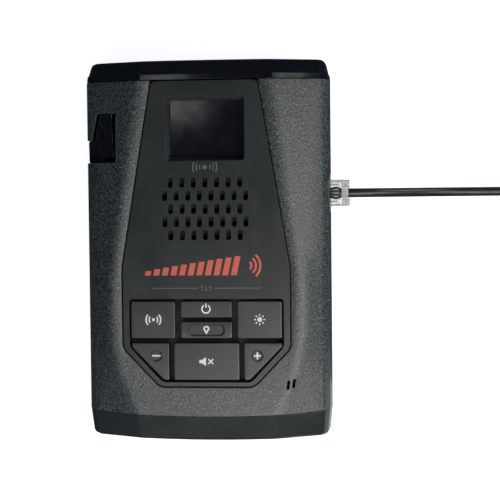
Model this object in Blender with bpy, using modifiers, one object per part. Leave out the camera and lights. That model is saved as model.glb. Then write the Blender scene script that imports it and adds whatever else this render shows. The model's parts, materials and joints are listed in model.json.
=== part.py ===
"""A windscreen radar detector lying on its underside, with its 12 V power lead plugged in.

Frame: metres, +Z up, +Y towards the front lens, +X towards the power socket.
The origin is on the resting surface, under the middle of the case.
"""

import math

import bmesh
import bpy
from mathutils import Matrix, Vector

MM = 0.001
GAP = 0.3 * MM

# Case: overall height of the crest, split height between the covers, and the ends.
CREST_Z = 36.0
SPLIT_Z = 26.5 * MM
WALL = 1.8 * MM
FRONT_SEAM = 60.9 * MM
FRONT_END = 68.3 * MM
FRONT_BOW = 0.3 * MM
REAR_SEAM = -57.5 * MM
REAR_SEAM_BOW = 1.7 * MM
REAR_END = -68.35 * MM
REAR_BOW = 1.5 * MM
BEYOND = 66.0 * MM
SHOULDER_X = 41.7 * MM
WALL_X = 43.7 * MM
SPAN_PARTS = 10

# Control panel, the flush plate let into the top cover.
PANEL_TOP = 34.6 * MM
PANEL_THICK = 2.1 * MM
PANEL_HALF = ((19.0, 60.75), (30.1, -5.7), (30.1, -34.6), (17.0, -48.5))
LEDGE_WIDE = 1.3 * MM

# Mount pocket in the panel.
MOUNT_CENTRE = (0.2 * MM, 43.5 * MM)
MOUNT_WIDE = 28.2 * MM
MOUNT_LONG = 22.6 * MM
MOUNT_DRAFT = 0.9 * MM
MOUNT_FLOOR = 30.8 * MM

# Speaker grille: staggered slanting slots.
GRILLE_CENTRE_Y = 15.2 * MM
GRILLE_ROWS = (7, 8, 7, 8, 7)
SLOT_PITCH_X = 4.15 * MM
SLOT_PITCH_Y = 4.69 * MM
SLOT_WIDE = 1.85 * MM
SLOT_LONG = 3.65 * MM
SLOT_SLANT = 0.75
SPEAKER_R = 14.2 * MM

# Keys: the bay in the panel and the caps standing in it.
BAY_HALF = ((27.8, -17.0), (27.8, -34.2), (16.0, -46.9))
KEY_TOP = 34.9 * MM
KEY_FOOT = 31.2 * MM
KEY_OUTER_X = 27.1
KEY_TOP_Y = -17.9
KEY_MID_Y = -31.0
KEY_LOW_Y = -32.8
KEY_END_Y = -46.0
DIMPLE_DEPTH = 0.55 * MM
BOARD_TOP = 27.6 * MM

# Release button in the left shoulder.
SCOOP_INNER_X = -32.1
SCOOP_FRONT_Y = 49.4
SCOOP_REAR_Y = 31.9
SCOOP_FLOOR_Z = 22.6

# Screws that hold the two covers together.
SCREW_X = 36.5 * MM
SCREW_YS = (55.0 * MM, -50.5 * MM)
SCREW_R = 1.4 * MM
SCREW_HEAD_R = 2.7 * MM

# Main board and what stands under it.
MAIN_BOARD_Z = (20.0 * MM, 21.6 * MM)

# Power socket and the modular plug in it.
JACK_Y = 20.2 * MM
JACK_Z = 15.0 * MM
PLUG_WIDE = 9.65 * MM
PLUG_HIGH = 6.6 * MM
PLUG_NOSE_X = 36.0 * MM
PLUG_END_X = 50.6 * MM

# Power lead: a round cord, its stored coil and the accessory plug.
CORD_D = 3.3 * MM
COIL_CENTRE_X = 158.0 * MM
COIL_LAYERS = 4
COIL_RADII = (22.3 * MM, 19.0 * MM, 15.7 * MM)
COIL_LIFT = 0.9 * MM
TIE_THICK = 0.6 * MM
PLUG12_R = 10.8 * MM
PLUG12_X = COIL_CENTRE_X + 26.8 * MM
PLUG12_TAIL_Y = -12.0 * MM

KINDS = {
    "textured_plastic": ((0.075, 0.082, 0.082, 1), 0.55, 0.0),
    "smooth_plastic": ((0.040, 0.048, 0.050, 1), 0.38, 0.0),
    "infrared_lens": ((0.006, 0.007, 0.012, 1), 0.08, 0.0),
    "key_plastic": ((0.080, 0.088, 0.085, 1), 0.42, 0.0),
    "silicone": ((0.012, 0.013, 0.015, 1), 0.65, 0.0),
    "circuit_board": ((0.015, 0.10, 0.045, 1), 0.45, 0.0),
    "die_cast": ((0.55, 0.56, 0.57, 1), 0.40, 0.9),
    "tinned_steel": ((0.62, 0.62, 0.60, 1), 0.30, 1.0),
    "steel": ((0.35, 0.35, 0.36, 1), 0.30, 1.0),
    "gold": ((0.80, 0.60, 0.25, 1), 0.25, 1.0),
    "ceramic": ((0.72, 0.66, 0.55, 1), 0.50, 0.0),
    "cone_paper": ((0.05, 0.05, 0.05, 1), 0.80, 0.0),
    "foam": ((0.03, 0.03, 0.03, 1), 0.95, 0.0),
    "black_plastic": ((0.02, 0.02, 0.02, 1), 0.45, 0.0),
    "clear_plastic": ((0.82, 0.84, 0.84, 0.4), 0.08, 0.0),
    "cord_jacket": ((0.012, 0.014, 0.016, 1), 0.42, 0.0),
    "label_film": ((0.45, 0.46, 0.46, 1), 0.50, 0.0),
}


# ---------------------------------------------------------------- helpers


def clear_scene():
    for thing in list(bpy.data.objects):
        bpy.data.objects.remove(thing)


def collection(name):
    made = bpy.data.collections.new(name)
    bpy.context.scene.collection.children.link(made)
    return made


def material(kind):
    found = bpy.data.materials.get(kind)
    if found:
        return found
    colour, roughness, metallic = KINDS[kind]
    made = bpy.data.materials.new(kind)
    made.use_nodes = True
    shader = made.node_tree.nodes["Principled BSDF"]
    shader.inputs["Base Color"].default_value = colour
    shader.inputs["Roughness"].default_value = roughness
    shader.inputs["Metallic"].default_value = metallic
    shader.inputs["Alpha"].default_value = colour[3]
    return made


def add(name, shape, kind, origin=(0, 0, 0)):
    """Makes an object of a bmesh. kind None makes a cutter. origin becomes the object's own origin."""
    bmesh.ops.recalc_face_normals(shape, faces=shape.faces)
    bmesh.ops.translate(shape, verts=shape.verts, vec=-Vector(origin))
    data = bpy.data.meshes.new(name)
    shape.to_mesh(data)
    shape.free()
    return place(bpy.data.objects.new(name, data), kind, origin)


def place(thing, kind, origin=(0, 0, 0)):
    thing.location = origin
    if kind is None:
        CUTTERS.objects.link(thing)
        thing.hide_render = True
        thing.display_type = "WIRE"
        return thing
    PARTS.objects.link(thing)
    thing.data.materials.append(material(kind))
    if thing.type == "MESH":
        thing.data.shade_smooth()
        thing.data.set_sharp_from_angle(angle=math.radians(35))
    return thing


def eased(corners, cut, steps):
    """A closed outline whose corners are eased by arcs that start and end cut away from them."""
    points = []
    for i, corner in enumerate(corners):
        before = corners[i - 1] - corner
        after = corners[(i + 1) % len(corners)] - corner
        here_cut = cut[i] if isinstance(cut, (list, tuple)) else cut
        if here_cut == 0:
            points.append(corner)
            continue
        start = corner + before.normalized() * here_cut
        end = corner + after.normalized() * here_cut
        for step in range(steps + 1):
            t = step / steps
            points.append(start * (1 - t) ** 2 + corner * 2 * t * (1 - t) + end * t**2)
    return points


def offset(corners, distance):
    """A closed anticlockwise outline moved outwards by distance, in plan."""
    moved = []
    for i, corner in enumerate(corners):
        before = (corner - corners[i - 1]).to_2d().normalized()
        after = (corners[(i + 1) % len(corners)] - corner).to_2d().normalized()
        first, second = Vector((before.y, -before.x)), Vector((after.y, -after.x))
        shift = (first + second) * distance / (1 + first.dot(second))
        moved.append(corner + (shift.to_3d() if len(corner) == 3 else shift))
    return moved


def both_sides(half, scale=1.0):
    """The whole anticlockwise outline from its right half, which is listed from front to rear."""
    right = [Vector(p) * scale for p in reversed(half)]
    left = [Vector((-p[0], *p[1:])) * scale for p in half]
    return right + left


def loft(name, loops, kind, ring=False, origin=(0, 0, 0), close=None):
    """Joins loops of equally many points.

    A ring joins its last loop to its first. Otherwise close caps both ends.
    """
    shape = bmesh.new()
    rows = [[shape.verts.new(p) for p in loop] for loop in loops]
    pairs = list(zip(rows, rows[1:] + rows[:1] if ring else rows[1:]))
    for lower, upper in pairs:
        for i in range(len(lower)):
            j = (i + 1) % len(lower)
            shape.faces.new((lower[i], lower[j], upper[j], upper[i]))
    if not ring:
        for row in (rows[0], rows[-1]):
            if close:
                close(shape, row)
            else:
                shape.faces.new(row)
    bmesh.ops.triangulate(shape, faces=shape.faces)
    return add(name, shape, kind, origin)


def layered(name, corners, levels, kind, cut=0.6 * MM, steps=2, origin=(0, 0, 0)):
    """A plate from one outline. levels lists (height, outward offset) from the lowest up."""
    loops = []
    for height, grow in levels:
        outline = eased(offset(corners, grow), cut, steps)
        loops.append([Vector((p.x, p.y, height)) for p in outline])
    return loft(name, loops, kind, origin=origin)


def rectangle(low_x, high_x, low_y, high_y):
    return [
        Vector((low_x, low_y)),
        Vector((high_x, low_y)),
        Vector((high_x, high_y)),
        Vector((low_x, high_y)),
    ]


def block(name, low, high, kind, bevel=0.0):
    """A box between two opposite corners, with its edges bevelled if asked."""
    low, high = Vector(low), Vector(high)
    shape = bmesh.new()
    bmesh.ops.create_cube(shape, size=1)
    bmesh.ops.scale(shape, verts=shape.verts, vec=high - low)
    bmesh.ops.translate(shape, verts=shape.verts, vec=(low + high) / 2)
    made = add(name, shape, kind)
    if bevel:
        modifier = made.modifiers.new("edge", "BEVEL")
        modifier.width = bevel
        modifier.segments = 1
    return made


def rod(name, radius, start, end, kind, sides=24, end_radius=None):
    """A cylinder or cone from start to end."""
    start, end = Vector(start), Vector(end)
    shape = bmesh.new()
    bmesh.ops.create_cone(
        shape,
        cap_ends=True,
        segments=sides,
        radius1=radius,
        radius2=radius if end_radius is None else end_radius,
        depth=(end - start).length,
    )
    turn = (end - start).to_track_quat("Z", "Y").to_matrix().to_4x4()
    bmesh.ops.transform(shape, matrix=Matrix.Translation((start + end) / 2) @ turn, verts=shape.verts)
    return add(name, shape, kind)


def turned(name, profile, kind, origin, direction=(0, 0, 1), steps=32, closed=False):
    """A profile of (radius, height) listed from the top down, turned about its own axis.

    A closed profile makes a ring and goes down its outer side and up its inner side.
    """
    shape = bmesh.new()
    points = [shape.verts.new((radius, 0, height)) for radius, height in profile]
    for first, second in zip(points, points[1:] + points[:1] if closed else points[1:]):
        shape.edges.new((first, second))
    data = bpy.data.meshes.new(name)
    shape.to_mesh(data)
    shape.free()
    made = bpy.data.objects.new(name, data)
    screw = made.modifiers.new("turn", "SCREW")
    screw.steps = steps
    screw.render_steps = steps
    screw.use_merge_vertices = True
    screw.merge_threshold = 0.00001
    screw.use_smooth_shade = True
    place(made, kind, origin)
    made.rotation_euler = Vector(direction).to_track_quat("Z", "Y").to_euler()
    return made


def cut(thing, *cutters):
    for cutter in cutters:
        modifier = thing.modifiers.new("cut_" + cutter.name, "BOOLEAN")
        modifier.operation = "DIFFERENCE"
        modifier.object = cutter


def join(thing, *others):
    """Unites helpers, which are kept with the cutters, with an object."""
    for other in others:
        modifier = thing.modifiers.new("join_" + other.name, "BOOLEAN")
        modifier.operation = "UNION"
        modifier.object = other


def several(name, shapes):
    """One helper made of separate closed shapes, each already a helper."""
    joined = bmesh.new()
    for thing in shapes:
        thing.data.transform(Matrix.Translation(thing.location))
        joined.from_mesh(thing.data)
        bpy.data.objects.remove(thing)
    return add(name, joined, None)


# ---------------------------------------------------------------- case


def seam_cutters():
    """What lies in front of the front seam, and behind the bowed rear seam."""
    front = block(
        "front_seam_cutter",
        (-BEYOND, FRONT_SEAM - GAP / 2, -BEYOND),
        (BEYOND, 2 * BEYOND, BEYOND),
        None,
    )
    arc = []
    for step in range(17):
        x = (step / 8 - 1) * 52 * MM
        arc.append(Vector((x, REAR_SEAM - REAR_SEAM_BOW * (1 - (x / SHOULDER_X) ** 2), -BEYOND)))
    outline = [Vector((-52 * MM, -2 * BEYOND, -BEYOND)), *arc, Vector((52 * MM, -2 * BEYOND, -BEYOND))]
    top = [p + Vector((0, 0, 2 * BEYOND)) for p in outline]
    return front, loft("rear_seam_cutter", [outline, top], None)


def top_cover_loops():
    """Loops round the top cover's section.

    They go up the outside, over the crest, down into the panel pocket and back below.
    """
    panel = both_sides(PANEL_HALF, MM)
    pocket_open = []
    for p in panel:
        pocket_open.append(Vector((p.x * 0.962, 65 * MM)) if p.y > 0 else p)
    pocket = offset(pocket_open, GAP)
    crest = both_sides(
        ((23.0, 66.0, CREST_Z), (34.5, -9.0, CREST_Z), (34.6, -36.5, 35.8), (22.4, -66.0, 35.0)), MM
    )
    shoulder = both_sides(
        ((41.7, 66.6, 29.6), (41.7, -9.0, 30.0), (41.7, -36.5, 30.4), (41.7, -66.6, 30.2)), MM
    )

    def level(corners, height, shift=0.0):
        return [Vector((p.x, p.y, height)) for p in offset(corners, shift)]

    def lowered(corners, drop, shift):
        return [p - Vector((0, 0, drop)) for p in offset(corners, shift)]

    wall = WALL_X - SHOULDER_X
    ledge_top = PANEL_TOP - PANEL_THICK - GAP
    ledge_inner = [Vector((p.x, min(p.y, 57.4 * MM))) for p in offset(pocket, -LEDGE_WIDE)]
    plain, soft, tight = (0.0, 6 * MM), (1.0 * MM, 9 * MM), (0.25 * MM, 2.2 * MM)
    rings = [
        (level(shoulder, SPLIT_Z + GAP / 2, wall), plain),
        (level(shoulder, 27.3 * MM, wall), (0.35 * MM, 6 * MM)),
        (shoulder, soft),
        (crest, (3.2 * MM, 9 * MM)),
        (level(pocket, 34.95 * MM), tight),
        (level(pocket, ledge_top), (0.0, 2.2 * MM)),
        (level(ledge_inner, ledge_top), (0.0, 2.2 * MM)),
        (level(ledge_inner, ledge_top - 1.6 * MM), (0.0, 2.2 * MM)),
        (level(pocket, ledge_top - 1.6 * MM, 1.2 * MM), (0.0, 2.2 * MM)),
        (lowered(crest, 2.0 * MM, -0.6 * MM), (0.0, 7 * MM)),
        (lowered(shoulder, 1.9 * MM, -1.0 * MM), (0.0, 6 * MM)),
        (level(shoulder, 27.0 * MM, wall - WALL), (0.0, 6 * MM)),
        (level(shoulder, SPLIT_Z + GAP / 2, wall - WALL), plain),
    ]
    sections = []
    for k in range(len(panel)):
        sections.append(eased([corners[k] for corners, _ in rings], [eases[0] for _, eases in rings], 3))
    plan_cuts = []
    for _, (ease, plan) in rings:
        plan_cuts += [plan] * (4 if ease else 1)
    return [eased(list(corners), plan, 4) for corners, plan in zip(zip(*sections), plan_cuts)]


def scoop_cutter():
    """The opening for the release button, through the left shoulder and the wall below it."""
    outline = [
        (SCOOP_INNER_X, SCOOP_REAR_Y),
        (SCOOP_INNER_X, SCOOP_FRONT_Y),
        (-39.4, SCOOP_FRONT_Y),
        (-40.4, 46.0),
        (-41.0, 43.5),
        (-41.8, 40.0),
        (-46.0, 40.0),
        (-46.0, SCOOP_REAR_Y),
    ]
    corners = [Vector((x * MM, y * MM, SCOOP_FLOOR_Z * MM)) for x, y in outline]
    return loft("scoop_cutter", [corners, [p + Vector((0, 0, 30 * MM)) for p in corners]], None)


def top_cover(front, rear, scoop):
    cover = loft("top_cover", top_cover_loops(), "textured_plastic", ring=True)
    bosses, bores = [], []
    for side in (-1, 1):
        for y in SCREW_YS:
            at = side * SCREW_X
            bosses.append(rod("boss", 3.0 * MM, (at, y, 26.95 * MM), (at, y, 30.6 * MM), None, 16))
            bores.append(rod("bore", SCREW_R + GAP, (at, y, 20 * MM), (at, y, 29.3 * MM), None, 16))
    slots = []
    for x, y, tilt in ((29.2, -47.7, 8), (31.2, -47.2, 8)):
        slot = rectangle(-0.5 * MM, 0.5 * MM, -1.6 * MM, 1.6 * MM)
        turn = Matrix.Rotation(math.radians(-tilt), 2)
        moved = [turn @ p + Vector((x * MM, y * MM)) for p in slot]
        slots.append(layered("slot", moved, ((30 * MM, 0), (40 * MM, 0)), None, cut=0.3 * MM))
    join(cover, several("cover_bosses", bosses))
    cut(cover, front, rear, scoop, several("cover_bores", bores), several("sensor_slots", slots))
    return cover


def case_section(shrink, top):
    """Corners of the lower case's section in X and Z, drawn in by shrink."""
    half = [(43.7, top / MM), (44.0, 14.0), (43.3, 4.6), (39.6, 0.0)]
    inset = shrink / MM
    drawn = [(x - inset, z + (inset if z < 10 else 0)) for x, z in half]
    return [Vector((x * MM, 0, z * MM)) for x, z in drawn] + [
        Vector((-x * MM, 0, z * MM)) for x, z in reversed(drawn)
    ]


def bottom_case(front, rear, scoop):
    """The open tub, cut at both ends, with its four screw posts and the openings in its walls."""
    top = SPLIT_Z - GAP / 2
    eases = [0, 3 * MM, 1.6 * MM, 1.6 * MM, 1.6 * MM, 1.6 * MM, 3 * MM, 0]
    outer = eased(case_section(0, top), eases, 3)
    inner = eased(case_section(2 * MM, 40 * MM), eases, 3)
    away = Vector((0, BEYOND + 2 * MM, 0))
    ends = [[p - away for p in outer], [p + away for p in outer]]
    case = loft("bottom_case", ends, "textured_plastic")
    hollow = loft("case_hollow", [[p - 2 * away for p in inner], [p + 2 * away for p in inner]], None)
    posts, bores, counterbores = [], [], []
    sink = SCREW_HEAD_R + GAP
    for side in (-1, 1):
        for y in SCREW_YS:
            at = side * SCREW_X
            posts.append(rod("post", 3.4 * MM, (at, y, 1 * MM), (at, y, 26.0 * MM), None, 16))
            bores.append(rod("bore", SCREW_R + GAP, (at, y, -1 * MM), (at, y, 30 * MM), None, 16))
            counterbores.append(rod("sink", sink, (at, y, -2 * MM), (at, y, 2.9 * MM), None, 16))
    windows = [
        block(
            "jack_window",
            (39 * MM, JACK_Y - 6.9 * MM, 7.7 * MM),
            (48 * MM, JACK_Y + 6.9 * MM, 20.0 * MM),
            None,
        ),
        block(
            "usb_window",
            (-48 * MM, -12.3 * MM, 12.9 * MM),
            (-39 * MM, -3.7 * MM, 17.5 * MM),
            None,
        ),
        rod("audio_window", 3.3 * MM, (-48 * MM, 6 * MM, 15 * MM), (-39 * MM, 6 * MM, 15 * MM), None),
        block(
            "label_recess",
            (-22 * MM, -31 * MM, -2 * MM),
            (22 * MM, 11 * MM, 0.6 * MM),
            None,
        ),
    ]
    cut(case, hollow)
    join(case, several("case_posts", posts))
    cut(case, several("case_bores", bores), several("case_counterbores", counterbores))
    cut(case, front, rear, scoop, several("case_windows", windows))
    return case


def end_section(widths, heights):
    """Corners of an end cap's section, right side first, from the crest down to the base."""
    right = list(zip(widths, heights))
    return right + [(-x, z) for x, z in reversed(right)]


def end_loop(section, y, bow, ease):
    """A section's outline at y, bowed in plan: right side, base, left side, then crest."""
    corners = [Vector((x * MM, 0, z * MM)) for x, z in section]
    outline = eased(corners, ease, 3)
    half = len(outline) // 2
    spans = []
    for side in (outline[:half], outline[half:]):
        start, end = side[-1], outline[half] if side[0] is outline[0] else outline[0]
        spans += [*side, *(start.lerp(end, step / SPAN_PARTS) for step in range(1, SPAN_PARTS))]
    return [Vector((p.x, y - bow * (p.x / SHOULDER_X) ** 2, p.z)) for p in spans]


def close_bowed(shape, row):
    """Caps a bowed outline with strips from base to crest, and one face at each side."""
    half = len(row) // 2
    sides = half - SPAN_PARTS + 1
    right, base = row[:sides], row[sides - 1 : half + 1]
    left, crest = row[half : half + sides], [*row[half + sides - 1 :], row[0]][::-1]
    shape.faces.new(right)
    shape.faces.new(left)
    for i in range(SPAN_PARTS):
        shape.faces.new((base[i], base[i + 1], crest[i + 1], crest[i]))


def end_cap(name, stations, kind, inner):
    """A cap that closes one end. Stations and inner both list (y, bow, widths, heights)."""
    loops = [end_loop(end_section(w, h), y, bow, 0.9 * MM) for y, bow, w, h in stations]
    hollow = [end_loop(end_section(w, h), y, bow, 0.9 * MM) for y, bow, w, h in inner]
    cap = loft(name, loops, kind, close=close_bowed)
    cut(cap, loft(name + "_hollow", hollow, None, close=close_bowed))
    return cap


def front_lens():
    seam = FRONT_SEAM + GAP / 2
    full = ((23.6, 41.7, 43.7, 44.0, 43.3, 39.6), (35.3, 29.6, 27.2, 14.0, 4.6, 0.0))
    lip = ((23.6, 41.6, 43.5, 43.8, 43.1, 39.5), (35.2, 29.5, 27.1, 14.0, 4.7, 0.1))
    slope = ((23.4, 41.3, 43.1, 43.4, 42.7, 39.2), (34.4, 28.8, 26.6, 14.0, 4.9, 0.3))
    edge = ((22.9, 40.9, 42.4, 42.6, 41.9, 38.7), (31.6, 26.8, 24.8, 14.0, 5.6, 1.3))
    round_ = ((22.6, 40.5, 42.0, 42.2, 41.5, 38.3), (30.6, 26.2, 24.3, 14.0, 6.1, 2.0))
    face = ((22.0, 39.8, 41.2, 41.4, 40.8, 37.8), (29.4, 25.2, 23.5, 14.0, 6.9, 3.0))
    inside = ((22.0, 39.9, 41.6, 41.9, 41.2, 38.4), (33.2, 27.9, 26.0, 14.0, 5.8, 2.1))
    deep = ((20.6, 38.2, 39.9, 40.0, 39.5, 36.6), (29.2, 25.0, 23.2, 14.0, 7.0, 3.4))
    return end_cap(
        "front_lens",
        [
            (seam, 0, *full),
            (62.9 * MM, 0.05 * MM, *lip),
            (63.6 * MM, 0.1 * MM, *slope),
            (67.1 * MM, 0.2 * MM, *edge),
            (67.8 * MM, 0.25 * MM, *round_),
            (FRONT_END, FRONT_BOW, *face),
        ],
        "infrared_lens",
        [(50 * MM, 0, *inside), (62.5 * MM, 0.05 * MM, *inside), (66.0 * MM, FRONT_BOW, *deep)],
    )


def rear_plate(name, shrink, near, far, kind):
    """A plate that follows the bowed rear face between two depths, with the display window's outline."""
    wide, low, high = 30.5 - shrink, 10.5 + shrink, 27.0 - shrink
    section = [(wide, high), (wide, low), (-wide, low), (-wide, high)]
    loops = [end_loop(section, y, -REAR_BOW, 1.6 * MM) for y in (near, far)]
    return loft(name, loops, kind, close=close_bowed)


def rear_bezel():
    seam = REAR_SEAM - GAP / 2
    full = ((25.5, 41.7, 43.7, 44.0, 43.3, 39.6), (35.25, 30.2, 27.2, 14.0, 4.6, 0.0))
    edge = ((24.8, 41.2, 43.0, 43.3, 42.6, 39.0), (31.7, 28.0, 25.7, 14.0, 5.2, 0.6))
    round_ = ((24.6, 40.9, 42.5, 42.8, 42.1, 38.6), (30.9, 27.5, 25.3, 14.0, 5.7, 1.2))
    face = ((24.2, 40.2, 41.7, 41.9, 41.3, 37.9), (29.9, 26.8, 24.7, 14.0, 6.5, 2.2))
    inside = ((23.6, 39.7, 41.7, 42.0, 41.3, 38.0), (33.0, 28.2, 25.8, 14.0, 5.8, 2.0))
    deep = ((22.6, 38.7, 40.3, 40.7, 40.1, 37.0), (29.9, 26.2, 23.9, 14.0, 7.0, 3.2))
    bow = -REAR_SEAM_BOW
    bezel = end_cap(
        "rear_bezel",
        [
            (seam - REAR_SEAM_BOW, bow, *full),
            (-67.1 * MM, -REAR_BOW, *edge),
            (-67.9 * MM, -REAR_BOW, *round_),
            (REAR_END, -REAR_BOW, *face),
        ],
        "smooth_plastic",
        [(-50 * MM, bow, *inside), (-60.3 * MM, bow, *inside), (-65.9 * MM, -REAR_BOW, *deep)],
    )
    cut(bezel, rear_plate("display_window_cutter", 0, -64 * MM, -72 * MM, None))
    return bezel


def display():
    rear_plate("display_lens", 0.3, -65.9 * MM, -67.6 * MM, "infrared_lens")
    low, high = (-28 * MM, -63.0 * MM, 12 * MM), (28 * MM, -60.5 * MM, 26 * MM)
    block("display_module", low, high, "black_plastic", 0.3 * MM)


# ---------------------------------------------------------------- control panel


def grille_cutter():
    """Slots that slant rearwards as they go down, in staggered rows."""
    slots = []
    for row, count in enumerate(GRILLE_ROWS):
        y = GRILLE_CENTRE_Y + (len(GRILLE_ROWS) // 2 - row) * SLOT_PITCH_Y
        for column in range(count):
            x = (column - (count - 1) / 2) * SLOT_PITCH_X
            half_x, half_y = SLOT_WIDE / 2, SLOT_LONG / 2
            outline = eased(rectangle(x - half_x, x + half_x, y - half_y, y + half_y), 0.5 * MM, 1)
            loops = []
            for height in (PANEL_TOP + 0.6 * MM, PANEL_TOP - PANEL_THICK - 0.6 * MM):
                slide = (height - PANEL_TOP) * SLOT_SLANT
                loops.append([Vector((p.x, p.y + slide, height)) for p in outline])
            slots.append(loft("slot", loops, None))
    return several("grille_slots", slots)


def mount_corners():
    x, y = MOUNT_CENTRE
    return rectangle(x - MOUNT_WIDE / 2, x + MOUNT_WIDE / 2, y - MOUNT_LONG / 2, y + MOUNT_LONG / 2)


def control_panel():
    low = PANEL_TOP - PANEL_THICK
    panel = layered(
        "control_panel",
        both_sides(PANEL_HALF, MM),
        ((low, 0), (PANEL_TOP - 0.2 * MM, 0), (PANEL_TOP, -0.2 * MM)),
        "smooth_plastic",
        cut=2.0 * MM,
        steps=4,
    )
    slope = MOUNT_DRAFT / PANEL_THICK
    pocket = layered(
        "mount_opening",
        mount_corners(),
        ((low - 0.5 * MM, -MOUNT_DRAFT - 0.5 * MM * slope), (PANEL_TOP + 0.5 * MM, 0.5 * MM * slope)),
        None,
        cut=1.2 * MM,
        steps=3,
    )
    through = ((low - 1 * MM, 0), (PANEL_TOP + 1 * MM, 0))
    bay = layered("key_bay", both_sides(BAY_HALF, MM), through, None, cut=1.4 * MM, steps=3)
    cut(panel, pocket, bay, grille_cutter())
    return panel


def mount_socket():
    """The glossy tray that takes the windscreen mount, and the steel plate its magnet holds."""
    top = PANEL_TOP - PANEL_THICK - GAP
    tray = layered(
        "mount_socket",
        mount_corners(),
        ((29.3 * MM, 1.2 * MM), (top, 1.2 * MM)),
        "infrared_lens",
        cut=1.2 * MM,
        steps=3,
    )
    hollow = layered(
        "tray_hollow",
        mount_corners(),
        ((MOUNT_FLOOR, -MOUNT_DRAFT - 0.2 * MM), (PANEL_TOP, -MOUNT_DRAFT - 0.2 * MM)),
        None,
        cut=1.2 * MM,
        steps=3,
    )
    cut(tray, hollow)
    levels = ((27.4 * MM, -1 * MM), (29.0 * MM, -1 * MM))
    plate = layered("mount_plate", mount_corners(), levels, "steel", cut=2 * MM, steps=3)
    return tray, plate


def speaker():
    centre = (0, GRILLE_CENTRE_Y, 0)
    under_panel = PANEL_TOP - PANEL_THICK
    r = SPEAKER_R
    turned(
        "speaker_gasket",
        (
            (r, under_panel - GAP),
            (r, 31.2 * MM),
            (r - 2.2 * MM, 31.2 * MM),
            (r - 2.2 * MM, under_panel - GAP),
        ),
        "foam",
        centre,
        closed=True,
    )
    turned(
        "speaker_frame",
        (
            (r, 30.9 * MM),
            (r, 29.9 * MM),
            (r - 1.6 * MM, 29.4 * MM),
            (9.0 * MM, 26.4 * MM),
            (5.0 * MM, 26.4 * MM),
            (5.0 * MM, 27.2 * MM),
            (8.6 * MM, 27.2 * MM),
            (r - 2.0 * MM, 30.9 * MM),
        ),
        "tinned_steel",
        centre,
        closed=True,
    )
    turned(
        "speaker_cone",
        (
            (0, 31.0 * MM),
            (2.5 * MM, 30.7 * MM),
            (4.6 * MM, 29.6 * MM),
            (8.0 * MM, 30.5 * MM),
            (10.2 * MM, 31.1 * MM),
            (11.3 * MM, 31.0 * MM),
            (11.3 * MM, 30.7 * MM),
            (8.2 * MM, 29.9 * MM),
            (4.6 * MM, 28.6 * MM),
            (0, 28.6 * MM),
        ),
        "cone_paper",
        centre,
    )
    turned(
        "speaker_magnet",
        (
            (0, 26.1 * MM),
            (7.0 * MM, 26.1 * MM),
            (7.4 * MM, 25.7 * MM),
            (7.4 * MM, 22.6 * MM),
            (0, 22.6 * MM),
        ),
        "tinned_steel",
        centre,
    )


# ---------------------------------------------------------------- keys


def key_outlines():
    """Each key's outline in millimetres, anticlockwise."""
    outer, inner, centre, wide = KEY_OUTER_X, 11.2, 9.2, 11.8
    edge = 13.5
    right_end = [
        (edge, KEY_END_Y),
        (15.5, KEY_END_Y),
        (outer, KEY_LOW_Y - 1.2),
        (outer, KEY_LOW_Y),
        (edge, KEY_LOW_Y),
    ]

    def box(x0, x1, y0, y1):
        return [(x0, y0), (x1, y0), (x1, y1), (x0, y1)]

    return {
        "key_sensitivity": box(-outer, -inner, KEY_MID_Y, KEY_TOP_Y),
        "key_brightness": box(inner, outer, KEY_MID_Y, KEY_TOP_Y),
        "key_power": box(-centre, centre, -23.6, KEY_TOP_Y),
        "key_mark": box(-centre, centre, KEY_MID_Y, -25.2),
        "key_mute": box(-wide, wide, KEY_END_Y, KEY_LOW_Y),
        "key_volume_up": right_end,
        "key_volume_down": [(-x, y) for x, y in reversed(right_end)],
    }


def key_centre(outline):
    xs, ys = [x for x, _ in outline], [y for _, y in outline]
    return (min(xs) + max(xs)) / 2 * MM, (min(ys) + max(ys)) / 2 * MM


def dimple(key):
    """A shallow dish in a key's top."""
    if key == "key_mark":
        corners = rectangle(-6.6 * MM, 6.6 * MM, -30.3 * MM, -26.0 * MM)
        ease, steps = 2.1 * MM, 6
    else:
        side = 1 if key == "key_volume_up" else -1
        x, y, r = side * 18.2 * MM, -37.4 * MM, 2.1 * MM
        corners = [Vector((x + r * math.cos(a), y + r * math.sin(a))) for a in circle_angles(20)]
        ease, steps = 0, 1
    levels = (
        (KEY_TOP - DIMPLE_DEPTH, -0.5 * MM),
        (KEY_TOP - 0.1 * MM, 0),
        (KEY_TOP + 0.5 * MM, 0.2 * MM),
    )
    return layered(key + "_dimple", corners, levels, None, cut=ease, steps=steps)


def circle_angles(count):
    return [2 * math.pi * i / count for i in range(count)]


def keys():
    levels = (
        (KEY_FOOT, 0),
        (KEY_TOP - 0.3 * MM, 0),
        (KEY_TOP - 0.09 * MM, -0.09 * MM),
        (KEY_TOP, -0.3 * MM),
    )
    for name, outline in key_outlines().items():
        centre = key_centre(outline)
        key = layered(
            name,
            [Vector(p) * MM for p in outline],
            levels,
            "key_plastic",
            cut=0.6 * MM,
            origin=(*centre, KEY_TOP),
        )
        if name in ("key_mark", "key_volume_up", "key_volume_down"):
            cut(key, dimple(name))
        snap_dome(name, centre)


def snap_dome(key, centre):
    """The metal dome on the switch board that the key closes."""
    turned(
        key.replace("key_", "dome_"),
        ((0, 0.6 * MM), (1.2 * MM, 0.5 * MM), (2.2 * MM, 0.15 * MM), (2.3 * MM, 0), (0, 0)),
        "tinned_steel",
        (*centre, BOARD_TOP + GAP),
        steps=16,
    )


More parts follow.
